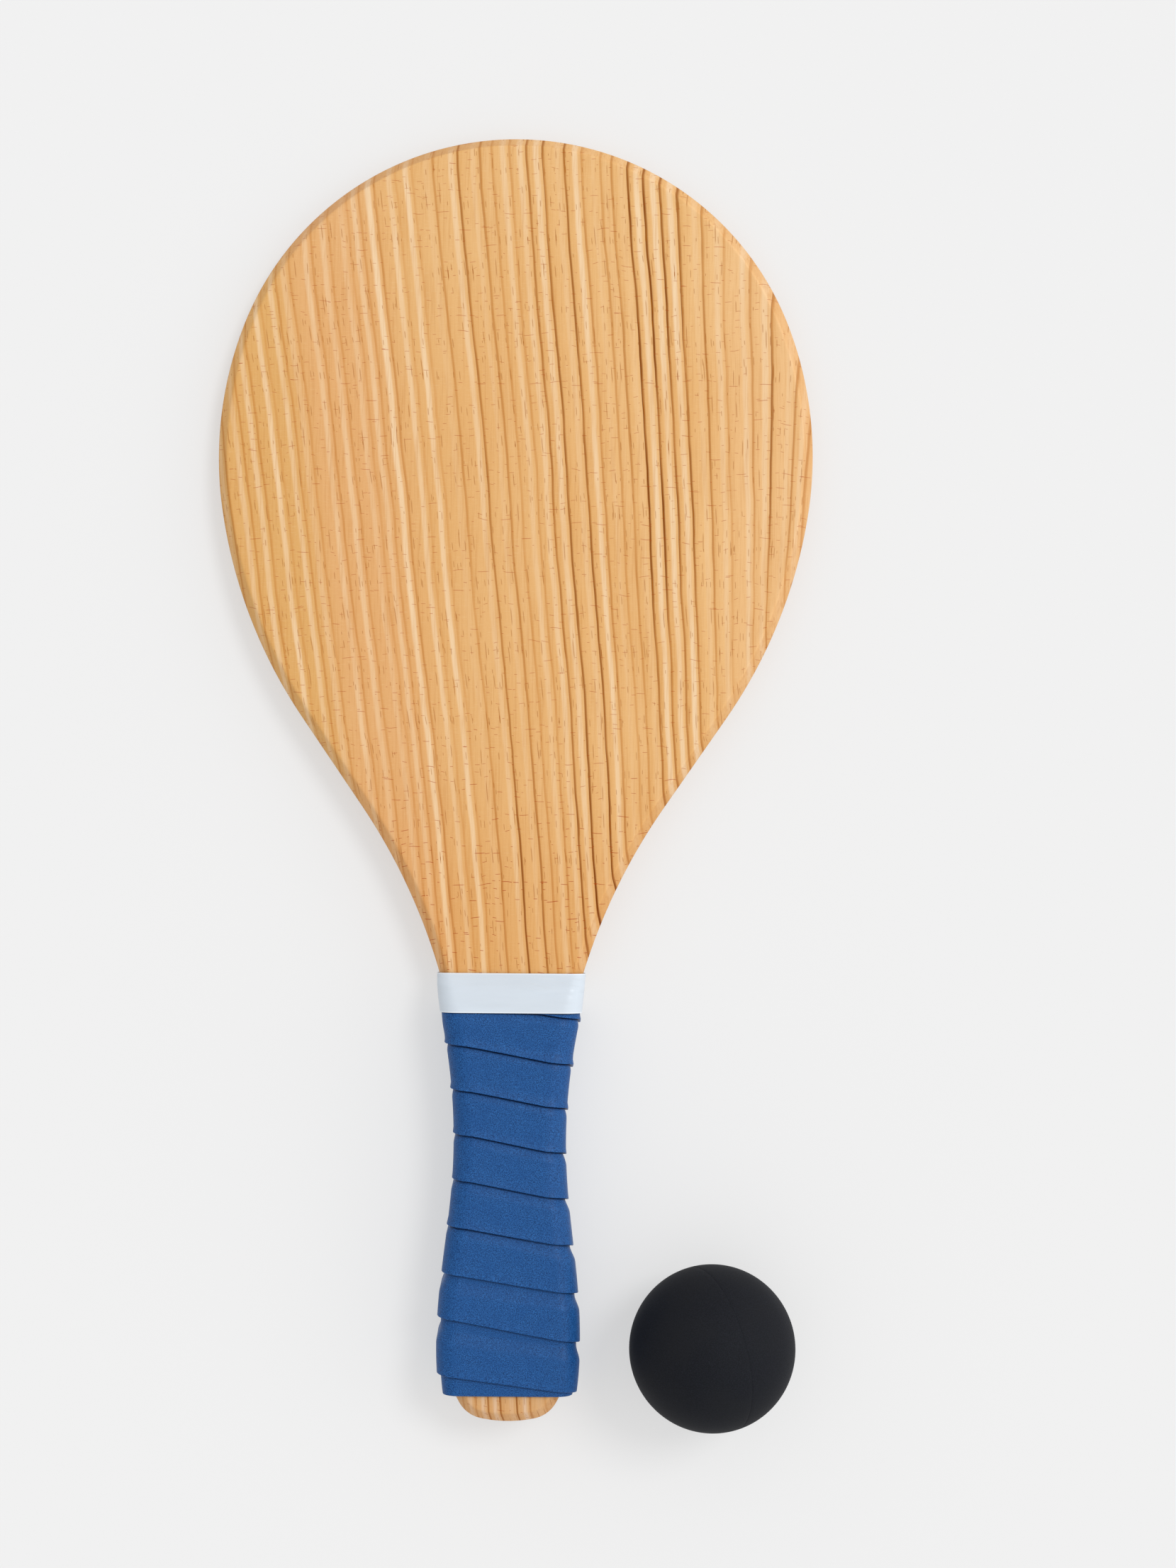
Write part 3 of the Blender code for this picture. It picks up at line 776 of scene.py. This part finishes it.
class Graph:
    """Short ways to make the nodes of one material."""

    def __init__(self, name):
        self.material = bpy.data.materials.new(name)
        self.material.use_nodes = True
        self.tree = self.material.node_tree
        self.shader = self.tree.nodes["Principled BSDF"]

    def node(self, kind, inputs=(), **settings):
        made = self.tree.nodes.new(kind)
        for key, value in settings.items():
            setattr(made, key, value)
        for key, value in dict(inputs).items():
            self.feed(made.inputs[key], value)
        return made

    def feed(self, socket, value):
        if isinstance(value, bpy.types.NodeSocket):
            self.tree.links.new(value, socket)
        else:
            socket.default_value = value

    def painted(self, feeds):
        """The material, its shader fed with these values and node outputs."""
        for name, value in feeds.items():
            self.feed(self.shader.inputs[name], value)
        return self.material

    def math(self, operation, *values):
        return self.node("ShaderNodeMath", enumerate(values), operation=operation).outputs[0]

    def vector(self, operation, *values):
        made = self.node("ShaderNodeVectorMath", enumerate(values), operation=operation)
        return made.outputs[0]

    def add(self, *values):
        total = values[0]
        for value in values[1:]:
            total = self.math("ADD", total, value)
        return total

    def times(self, *values):
        total = values[0]
        for value in values[1:]:
            total = self.math("MULTIPLY", total, value)
        return total

    def minus(self, a, b):
        return self.math("SUBTRACT", a, b)

    def magnitude(self, value):
        return self.math("ABSOLUTE", value)

    def step(self, value, start, end, low=0.0, high=1.0):
        """A smooth step from low to high as the value goes from start to end."""
        feeds = ((0, value), (1, start), (2, end), (3, low), (4, high))
        made = self.node("ShaderNodeMapRange", feeds, interpolation_type="SMOOTHSTEP")
        return made.outputs[0]

    def fade(self, value, start, end):
        """A smooth step from 1 to 0 as the value goes from start to end."""
        return self.step(value, start, end, 1.0, 0.0)

    def join(self, x=0.0, y=0.0, z=0.0):
        return self.node("ShaderNodeCombineXYZ", enumerate((x, y, z))).outputs[0]

    def split(self, vector):
        return self.node("ShaderNodeSeparateXYZ", ((0, vector),)).outputs

    def noise(self, place, scale=1.0, detail=2.0, roughness=0.5):
        feeds = {"Vector": place, "Scale": scale, "Detail": detail, "Roughness": roughness}
        return self.node("ShaderNodeTexNoise", feeds).outputs["Fac"]

    def streaks(self, x, y, depth, cycles, detail=2.0, roughness=0.5):
        """Noise with so many cycles per mm across the paddle and along it."""
        across, along = cycles
        place = self.join(self.times(x, across), self.times(y, along), depth)
        return self.noise(place, detail=detail, roughness=roughness)

    def mix(self, share, first, second, blend="MIX"):
        made = self.node("ShaderNodeMix", data_type="RGBA", blend_type=blend)
        self.feed(made.inputs[MIX_SHARE], share)
        self.feed(made.inputs[MIX_FIRST], first)
        self.feed(made.inputs[MIX_SECOND], second)
        return made.outputs[MIX_RESULT]

    def layered(self, colour, layers, blend="MIX"):
        """The colour with each (share, colour) layer mixed over it in turn."""
        for share, over in layers:
            colour = self.mix(share, colour, over, blend)
        return colour

    def curve(self, value, points):
        """The value passed through straight lines between points, all in 0 to 1."""
        made = self.node("ShaderNodeFloatCurve", (("Value", value),))
        line = made.mapping.curves[0]
        for number, (x, y) in enumerate(points):
            if number < 2:
                line.points[number].location = (x, y)
            else:
                line.points.new(x, y)
        for point in line.points:
            point.handle_type = "VECTOR"
        made.mapping.update()
        return made.outputs[0]

    def bump(self, height, distance, strength):
        feeds = {"Height": height, "Distance": distance, "Strength": strength}
        return self.node("ShaderNodeBump", feeds).outputs[0]

    def place(self):
        """Coordinates along the paddle's own axes, in millimetres."""
        at = self.node("ShaderNodeTexCoord").outputs["Object"]
        feeds = {"Vector": at, "Location": LYING.translation, "Rotation": LYING.to_euler()}
        feeds["Scale"] = (MM, MM, MM)
        return self.node("ShaderNodeMapping", feeds, vector_type="TEXTURE").outputs[0]


# Pine. All lengths are in mm, x across the blade and y from the butt

# Growth rings: place of the late-wood line across the blade, its darkness, and how pale the
# early wood just before it is
RINGS = (
    (-112, 0.12, 0.50),
    (-106, 0.12, 0.50),
    (-101.9, 0.30, 0.35),
    (-94.7, 0.24, 0.55),
    (-89.0, 0.22, 0.65),
    (-81.8, 0.08, 0.90),
    (-75.6, 0.22, 0.65),
    (-70.6, 0.16, 0.35),
    (-62.2, 0.18, 0.60),
    (-56.0, 0.14, 0.55),
    (-48.8, 0.08, 0.35),
    (-44.3, 0.14, 0.55),
    (-38.8, 0.26, 1.00),
    (-31.2, 0.06, 0.65),
    (-25.6, 0.08, 0.95),
    (-18.5, 0.24, 0.15),
    (-10.3, 0.52, 0.65),
    (-2.9, 0.36, 0.25),
    (0.9, 0.16, 0.05),
    (6.8, 0.14, 0.50),
    (12.3, 0.52, 0.60),
    (17.5, 0.64, 0.75),
    (24.7, 0.66, 0.30),
    (30.4, 0.28, 0.90),
    (36.6, 0.24, 0.15),
    (40.1, 0.32, 0.10),
    (45.5, 0.86, 0.15),
    (50.5, 0.82, 0.95),
    (55.7, 0.74, 0.90),
    (60.9, 0.72, 1.00),
    (68.1, 0.46, 0.30),
    (74.8, 0.12, 0.50),
    (83.3, 0.24, 0.70),
    (89.5, 0.60, 0.60),
    (97.6, 0.34, 0.30),
    (102.4, 0.30, 0.50),
    (107, 0.30, 0.50),
    (113, 0.30, 0.50),
)
PALE_BEFORE_LINE = 2.1
WIDEST_RING = 12.0
RINGS_LOW, RINGS_HIGH = -120.0, 120.0
RINGS_MEASURED_AT = 340.0
# How far the rings run sideways for each mm towards the butt, at places across the blade
RING_DRIFT = ((-112, 0.145), (-45, 0.12), (0, 0.09), (60, 0.055), (82, 0.02), (104, -0.09))
DRIFT_LIMIT = 0.2
# How far the rings wander together, and lean for each mm through the thickness
WIDE_WANDER = 3.0
FINE_WANDER = 1.2
RING_LEAN = 0.22
# How far from its line each band is full and where it has gone: the line itself on both its
# sides, the late wood behind it, and the early wood round the palest place before it
LINE_BEHIND = (0.15, 0.9)
LINE_AHEAD = (0.1, 0.42)
LATE_REACH = (0.3, 3.2)
EARLY_REACH = (0.4, 1.35)
# Cycles of each noise, for each mm across the paddle or each ring, and for each mm along it
WIDE_CYCLES = (0.012, 0.011)
FINE_CYCLES = (0.06, 0.045)
RING_CYCLES = (3.7, 0.022)
FIBRE_CYCLES = (1.6, 0.035)
HAIR_CYCLES = (7.0, 0.16)
SILK_CYCLES = (0.35, 3.4)
CLOUD_CYCLES = (0.03, 0.012)
# The flecks run across in slight bends
FLECK_BEND = 6.0
# The cheeks are cut from other places of the plank
FRONT_CHEEK_SHIFT = 43.5
BACK_CHEEK_SHIFT = 23.0

# Bands across the blade and along the paddle, each from where it starts to where it is full. An
# end is from where its band is still full to where it has gone
RIGHT_BAND = (-80.0, 100.0)
PINK_BAND = (-80.0, -62.0)
PINK_BAND_END = (-48.0, -30.0)
YELLOW_BAND_END = (-80.0, -68.0)
CREAM_BAND = (64.0, 84.0)
STRONG_LINES = (30.0, 42.0)
STRONG_ABOVE = (230.0, 330.0)
THROAT_BELOW = (250.0, 170.0)
THROAT_ABOVE = (60.0, 100.0)
THROAT_STAIN = (245.0, 165.0)
CROWN_FADE = (330.0, 430.0)
BUTT_TONE_BAND = (14.0, 7.0)

# Parts of the surface's direction from which cut wood darkens with stain and painted shade, and where
# it is full
CUT_FACING = (0.97, 0.72)
END_FACING = (0.1, 0.8)
CROWN_FACING = (0.3, 0.6)
LEFT_FACING = (0.1, -0.15)
RIGHT_FACING = (0.3, 0.65)

# Scattered dashes: size of a cell with one dash, the dash's half size, both across and along,
# share of the cells that have one, and a seed
SMALL_RAYS = ((3.6, 2.6), (1.15, 0.12), 0.42, 0.0)
LONG_RAYS = ((8.0, 6.0), (2.7, 0.14), 0.35, 41.0)
LONG_RESIN = ((2.6, 12.0), (0.2, 4.5), 0.3, 17.0)
SHORT_RESIN = ((1.5, 6.0), (0.16, 2.0), 0.25, 63.0)


def dashes(g, across, along, cell, half, share, seed):
    """1 on thin dashes scattered over the surface, 0 elsewhere."""
    cell_across, cell_along = cell
    half_across, half_along = half
    columns = g.add(g.times(across, 1 / cell_across), seed)
    place = g.join(columns, g.times(along, 1 / cell_along))
    feeds = {"Vector": place, "Scale": 1.0}
    cells = g.node("ShaderNodeTexVoronoi", feeds, voronoi_dimensions="2D")
    off = g.split(g.vector("SUBTRACT", place, cells.outputs["Position"]))
    chance = g.split(cells.outputs["Color"])
    length = g.add(g.times(chance[0], 0.75), 0.25)
    x = g.magnitude(g.times(off[0], cell_across))
    y = g.magnitude(g.times(off[1], cell_along))
    if half_across > half_along:
        x = g.math("DIVIDE", x, length)
    else:
        y = g.math("DIVIDE", y, length)
    on = g.math("LESS_THAN", chance[1], share)
    inside_x = g.fade(x, half_across * 0.55, half_across)
    inside_y = g.fade(y, half_along * 0.45, half_along)
    return g.times(on, inside_x, inside_y)


def by_ring(g, ring, pairs, low=0.0, high=1.0):
    """A level between low and high, read off straight lines through (place across, level) pairs."""
    reach = RINGS_HIGH - RINGS_LOW
    points = [((at - RINGS_LOW) / reach, (level - low) / (high - low)) for at, level in pairs]
    points = [(0.0, points[0][1])] + points + [(1.0, points[-1][1])]
    share_across = g.times(g.minus(ring, RINGS_LOW), 1 / reach)
    return g.add(g.times(g.curve(share_across, points), high - low), low)


def ring_place(g, x, y):
    """Where the ring through (x, y) lies across the blade at the height it was measured at."""
    below = g.minus(RINGS_MEASURED_AT, y)
    ring = x
    for _ in range(2):
        ring = g.minus(x, g.times(by_ring(g, ring, RING_DRIFT, -DRIFT_LIMIT, DRIFT_LIMIT), below))
    return ring


def ring_pattern(g, ring, y, at_throat):
    """Shares of the late-wood line and of the late and early wood beside it, and the line's colour."""
    places = [at for at, _, _ in RINGS]
    numbers = [(at, number) for number, at in enumerate(places)]
    widths = [((a + b) / 2, b - a) for a, b in zip(places, places[1:])]
    phase = by_ring(g, ring, numbers, 0.0, len(RINGS))
    number = g.math("FLOOR", phase)
    through = g.math("FRACT", phase)
    width = by_ring(g, ring, widths, 0.0, WIDEST_RING)
    past = g.times(through, width)
    ahead = g.times(g.minus(1.0, through), width)
    dark = by_ring(g, ring, [(at, level) for at, level, _ in RINGS])
    pale = by_ring(g, ring, [(at - PALE_BEFORE_LINE, level) for at, _, level in RINGS])

    chance = g.node("ShaderNodeTexWhiteNoise", {"W": number}, noise_dimensions="1D").outputs[0]
    along_ring = g.streaks(number, y, chance, RING_CYCLES, detail=3.0)

    # The strong lines on the right fade towards the handle, and all are darker at the throat
    kept = g.math("MAXIMUM", g.step(y, *STRONG_ABOVE, 0.5, 1.0), g.fade(ring, *STRONG_LINES))
    kept = g.times(kept, g.add(g.times(at_throat, 0.4), 1.0))
    depth = g.times(dark, kept, g.step(along_ring, 0.25, 0.62, 0.5, 1.2))
    line_colour = g.mix(depth, FAINT_LINE, DARK_LINE)
    line = g.math("MAXIMUM", g.fade(past, *LINE_BEHIND), g.fade(ahead, *LINE_AHEAD))
    line = g.times(line, g.math("POWER", depth, 0.55))

    late = g.times(g.fade(past, *LATE_REACH), g.add(g.times(dark, 0.5), 0.12))
    early = g.fade(g.magnitude(g.minus(ahead, PALE_BEFORE_LINE)), *EARLY_REACH)
    early = g.times(early, pale, g.step(along_ring, 0.3, 0.6, 0.55, 1.1))
    return line, late, early, line_colour


def plank_colour(g, ring, cloud):
    """The wood's colour between its rings, which changes across the blade."""
    colour = g.mix(g.step(ring, *RIGHT_BAND), PINE_LEFT, PINE_RIGHT)
    pink = g.times(g.step(ring, *PINK_BAND), g.fade(ring, *PINK_BAND_END))
    layers = (
        (g.times(g.step(cloud, 0.35, 0.7), 0.5), PINE_CLOUD),
        (g.times(pink, 0.32), PINE_PINK),
        (g.times(g.fade(ring, *YELLOW_BAND_END), 0.6), PINE_YELLOW),
        (g.times(g.step(ring, *CREAM_BAND), 0.4), PINE_CREAM),
    )
    return g.layered(colour, layers)


def stained_and_shaded(g, colour, y):
    """The throat is stained a little deeper, the crown paler and bluer, the butt darker and bluer. Cut
    wood darkens: end grain partly from deeper stain, and all of it partly from painted shade, most on
    chamfers facing the tip and the left and on those facing right.
    """
    tints = (
        (g.times(g.step(y, *THROAT_STAIN), 0.8), THROAT_TINT),
        (g.step(y, *CROWN_FADE), CROWN_TINT),
        (g.step(y, *BUTT_TONE_BAND), BUTT_TINT),
    )
    colour = g.layered(colour, tints, "MULTIPLY")
    across, along, up = g.split(g.node("ShaderNodeTexCoord").outputs["Normal"])
    cut = g.step(g.magnitude(up), *CUT_FACING)
    end = g.step(g.magnitude(along), *END_FACING)
    # Painted shade on chamfers facing the tip and the left, and on those facing right
    crown_left_shade = g.times(g.step(along, *CROWN_FACING), g.step(across, *LEFT_FACING))
    right = g.step(across, *RIGHT_FACING)
    stain_and_shade = g.add(g.times(end, 0.08), g.times(crown_left_shade, 0.2), g.times(right, 0.12), 0.02)
    return g.mix(g.times(cut, stain_and_shade), colour, STAIN_AND_SHADE)


def wood(name, shift=0.0):
    """Quarter-sawn pine, its rings running along the paddle."""
    g = Graph(name)
    x, y, z = g.split(g.place())
    wide = g.streaks(x, y, 3.1, WIDE_CYCLES, detail=1.0)
    fine = g.streaks(x, y, 8.7, FINE_CYCLES)
    wander = g.add(g.times(g.minus(wide, 0.5), WIDE_WANDER), g.times(g.minus(fine, 0.5), FINE_WANDER))
    x = g.add(x, wander, g.times(z, RING_LEAN), shift)
    ring = ring_place(g, x, y)
    at_throat = g.times(g.step(y, *THROAT_BELOW), g.step(y, *THROAT_ABOVE))
    line, late, early, line_colour = ring_pattern(g, ring, y, at_throat)

    # Fibres along the grain and flecks of rays across it
    fibre = g.streaks(x, y, z, FIBRE_CYCLES, detail=3.0, roughness=0.6)
    hair = g.streaks(x, y, z, HAIR_CYCLES)
    silk = g.streaks(x, y, z, SILK_CYCLES)
    cloud = g.streaks(x, y, 5.0, CLOUD_CYCLES)
    bent = g.add(y, g.times(fine, FLECK_BEND))
    rays = g.add(dashes(g, x, bent, *SMALL_RAYS), dashes(g, x, bent, *LONG_RAYS))
    resin = g.add(dashes(g, ring, y, *LONG_RESIN), dashes(g, ring, y, *SHORT_RESIN))
    layers = (
        (late, LATE_WOOD),
        (g.times(early, 0.9), EARLY_WOOD),
        (g.times(g.step(fibre, 0.45, 0.75), 0.36), FIBRE),
        (g.times(g.step(silk, 0.5, 0.8), 0.22), SILK),
        (g.times(g.step(hair, 0.5, 0.75), 0.16), HAIR),
        (line, line_colour),
        (g.times(resin, 0.55), RESIN),
        (g.times(rays, g.add(g.times(at_throat, 0.32), 0.58)), FLECK),
    )
    colour = g.layered(plank_colour(g, ring, cloud), layers)
    relief = g.add(g.times(hair, 0.4), g.times(fibre, 0.5), g.times(rays, -0.1))
    return g.painted(
        {
            "Base Color": stained_and_shaded(g, colour, y),
            "Roughness": g.add(g.times(hair, 0.14), g.times(early, 0.1), 0.4),
            "Normal": g.bump(relief, WOOD_RELIEF, 0.5),
            "Specular IOR Level": g.minus(0.3, g.times(line, 0.27)),
        }
    )


# Foam, tape and rubber

# Foam nearer than this to the turn above it gets painted shade
PAINTED_SHADE_REACH = 1.6 * MM
# Where the tape's folds start and are full, across the handle and up from its lower edge, and
# how wide the painted highlight along its edges is, all in mm
FOLDS_ACROSS = (-4.0, 14.0)
FOLDS_UP = (4.0, 9.0)
EDGE_HIGHLIGHT_REACH = (0.25, 0.6)
# Cycles of the stretched film's unevenness for each mm
FILM_CYCLES = (0.05, 0.3, 0.05)


def foam():
    """Closed-cell foam: matt and finely speckled, with painted shade in the folds between its turns.
    """
    g = Graph("blue_eva_foam")
    place = g.place()
    grain = g.noise(place, scale=3.1, detail=4.0, roughness=0.75)
    cloud = g.noise(place, scale=0.16)
    cells = g.node("ShaderNodeTexVoronoi", {"Vector": place, "Scale": 2.6})
    pits = g.fade(cells.outputs["Distance"], 0.0, 0.35)
    open_sky = g.node("ShaderNodeAmbientOcclusion", {"Distance": PAINTED_SHADE_REACH}).outputs["AO"]
    layers = (
        (g.times(g.step(cloud, 0.3, 0.7), 0.3), FOAM_CLOUD),
        (g.times(pits, 0.34), FOAM_PIT),
        # Painted shade in the folds between the turns, read from ambient occlusion
        (g.step(open_sky, 0.8, 0.4), FOAM_PAINTED_SHADE),
    )
    colour = g.mix(g.step(grain, 0.36, 0.66), FOAM_DARK, FOAM_LIGHT)
    return g.painted(
        {
            "Base Color": g.layered(colour, layers),
            "Roughness": g.add(g.times(grain, 0.2), 0.36),
            "Normal": g.bump(g.minus(grain, g.times(pits, 0.4)), FOAM_RELIEF, 0.4),
            "Specular IOR Level": 0.17,
        }
    )


def vinyl():
    """White tape: smooth and slightly glossy, with the faint unevenness of a stretched film and a
    painted highlight along both edges.
    """
    g = Graph("white_vinyl_tape")
    place = g.place()
    x, y, _ = g.split(place)
    film = g.noise(g.vector("MULTIPLY", place, FILM_CYCLES))
    speck = g.noise(place, scale=3.0)
    above = g.minus(y, TAPE_BOTTOM / MM)
    slanting = g.join(g.times(x, 0.05), g.add(g.times(x, 0.1), g.times(y, 0.45)))
    folds = g.noise(slanting, detail=1.0)
    folds = g.times(folds, g.step(x, *FOLDS_ACROSS), g.step(above, *FOLDS_UP))
    # A pale band along both edges: painted highlight
    edge_highlight = g.fade(g.math("MINIMUM", above, g.minus(TAPE_WIDTH / MM, above)), *EDGE_HIGHLIGHT_REACH)
    colour = g.mix(film, TAPE_SHADE, TAPE_LIGHT)
    relief = g.add(film, g.times(speck, 0.03), g.times(folds, 3.0))
    return g.painted(
        {
            "Base Color": g.mix(g.times(edge_highlight, 0.6), colour, TAPE_EDGE_HIGHLIGHT),
            "Roughness": g.add(g.times(film, 0.15), 0.25),
            "Normal": g.bump(relief, TAPE_RELIEF, 0.6),
        }
    )


def rubber():
    """Black rubber with a dusty, very finely pitted skin."""
    g = Graph("black_ball_rubber")
    place = g.place()
    pits = g.noise(place, scale=3.0, detail=3.0, roughness=0.7)
    cloud = g.noise(place, scale=0.06, detail=3.0)
    colour = g.mix(g.step(pits, 0.35, 0.7), RUBBER_DARK, RUBBER_LIGHT)
    return g.painted(
        {
            "Base Color": g.mix(g.times(g.step(cloud, 0.4, 0.7), 0.4), colour, RUBBER_DUST),
            "Roughness": g.add(g.times(cloud, 0.2), 0.62),
            "Normal": g.bump(pits, RUBBER_RELIEF, 0.5),
            "Specular IOR Level": 0.13,
        }
    )


# Stage

FLOOR_REACH = 60.0
FLOOR_DROP = 0.05 * MM
FLOOR_ALBEDO = 0.36
FLOOR_GLOW = 0.489
WORLD_LIGHT = 0.80
# The studio is a little brighter on the right
WORLD_LEAN = (0.25, 0.04, 0.0)
# Name, strength, spread and direction of each lamp
LAMPS = (
    ("key", 1.0, math.radians(20), (0.46, 0.38, 0.84)),
    ("side", 0.24, math.radians(30), (1.0, 0.1, 0.4)),
)

# Camera straight over the set, as the photograph faces it
CAMERA_HEIGHT = 1.007
CAMERA_PLACE = (0.02605, -0.00308)
CAMERA_ROLL = math.radians(0.44)
FOCAL_PIXELS = 4036
IMAGE_HEIGHT = 2212
SENSOR = 36.0


def make_floor():
    """A matt floor that also glows, which keeps it even and its shadows faint."""
    bm = bmesh.new()
    bmesh.ops.create_grid(bm, x_segments=1, y_segments=1, size=FLOOR_REACH)
    mesh = bpy.data.meshes.new("floor")
    bm.to_mesh(mesh)
    bm.free()
    looks = {
        "Base Color": (FLOOR_ALBEDO, FLOOR_ALBEDO, FLOOR_ALBEDO, 1.0),
        "Roughness": 1.0,
        "Specular IOR Level": 0.0,
        "Emission Color": WHITE,
        "Emission Strength": FLOOR_GLOW,
    }
    mesh.materials.append(Graph("pale_floor").painted(looks))
    floor = bpy.data.objects.new("floor", mesh)
    floor.location = (0.0, 0.0, -FLOOR_DROP)
    bpy.context.scene.collection.objects.link(floor)


def light_stage():
    """White light from all round, a little more of it from the right, and two soft lamps."""
    world = bpy.data.worlds.new("studio")
    world.use_nodes = True
    tree = world.node_tree
    sky = tree.nodes["Background"]
    sky.inputs["Color"].default_value = WHITE
    way = tree.nodes.new("ShaderNodeTexCoord")
    lean = tree.nodes.new("ShaderNodeVectorMath")
    lean.operation = "DOT_PRODUCT"
    lean.inputs[1].default_value = WORLD_LEAN
    light = tree.nodes.new("ShaderNodeMath")
    light.operation = "MULTIPLY_ADD"
    light.inputs[1].default_value = WORLD_LIGHT
    light.inputs[2].default_value = WORLD_LIGHT
    tree.links.new(way.outputs["Generated"], lean.inputs[0])
    tree.links.new(lean.outputs["Value"], light.inputs[0])
    tree.links.new(light.outputs[0], sky.inputs["Strength"])
    bpy.context.scene.world = world
    for name, strength, spread, direction in LAMPS:
        sun = bpy.data.lights.new(name, "SUN")
        sun.angle = spread
        sun.energy = strength
        lamp = bpy.data.objects.new(name, sun)
        lamp.rotation_euler = (-Vector(direction)).to_track_quat("-Z", "Y").to_euler()
        bpy.context.scene.collection.objects.link(lamp)
    bpy.context.scene.view_settings.view_transform = "Standard"


def make_camera():
    """A camera that looks straight down, with the photograph's view."""
    camera = bpy.data.cameras.new("camera")
    camera.sensor_fit = "AUTO"
    camera.sensor_width = SENSOR
    camera.lens = SENSOR * FOCAL_PIXELS / IMAGE_HEIGHT
    made = bpy.data.objects.new("camera", camera)
    made.location = (*CAMERA_PLACE, CAMERA_HEIGHT)
    made.rotation_euler = (0.0, 0.0, CAMERA_ROLL)
    bpy.context.scene.collection.objects.link(made)
    bpy.context.scene.camera = made


def main():
    """The stage, then each piece in the place of its solid."""
    make_camera()
    make_floor()
    light_stage()
    board = make_board(wood("pine_board"))
    front_cheek = make_cheek("cheek_front", 1, wood("pine_front", FRONT_CHEEK_SHIFT))
    back_cheek = make_cheek("cheek_back", -1, wood("pine_back", BACK_CHEEK_SHIFT))
    foam_strip = make_foam(foam())
    tape = make_tape(vinyl())
    ball = make_ball(rubber())
    in_place(board, "paddle_board")
    in_place(front_cheek, "front_handle_cheek")
    in_place(back_cheek, "back_handle_cheek")
    in_place(foam_strip, "foam_grip_wrap")
    in_place(tape, "white_tape_band")
    in_place(ball, "ball")


main()
